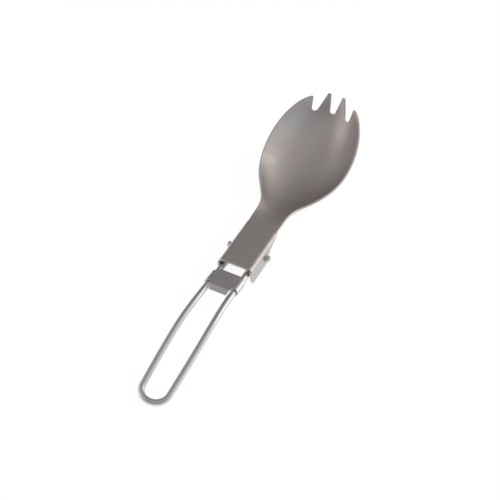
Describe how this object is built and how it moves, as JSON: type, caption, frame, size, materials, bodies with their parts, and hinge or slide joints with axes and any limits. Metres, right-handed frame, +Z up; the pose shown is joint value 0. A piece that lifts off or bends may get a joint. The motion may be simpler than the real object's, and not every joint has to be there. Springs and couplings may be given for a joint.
{
  "type": "folding spork",
  "caption": "Folding titanium spork: an oval bowl with short tines, a wire loop handle hinged in the neck's side flanges, and a clip that slides along the wires.",
  "frame": {"origin": "on the surface that the spork rests on, under the middle of its overall box", "axes": "+X along the spork towards the tines, +Y to its left, +Z up out of the bowl"},
  "size_m": [0.1662, 0.0374, 0.023],
  "materials": {
    "head_titanium": "warm grey blasted and finely brushed titanium",
    "wire_titanium": "bright drawn titanium wire, lightly polished",
    "clip_steel": "satin sheet, darker than the wire"
  },
  "bodies": {
    "head": {"spork_head": "head_titanium"},
    "handle": {"wire_handle": "wire_titanium"},
    "lock": {"slide_lock": "clip_steel"}
  },
  "joints": [
    {"name": "handle_fold", "type": "hinge", "parent": "head", "child": "handle", "pos_m": [0.00006, 0, 0.00407], "axis": [0, 1, 0], "range_deg": [-178, 0]},
    {"name": "lock_slide", "type": "slide", "parent": "handle", "child": "lock", "axis": [0.9931, 0, -0.117], "range_m": [-0.0025, 0.0034]}
  ]
}
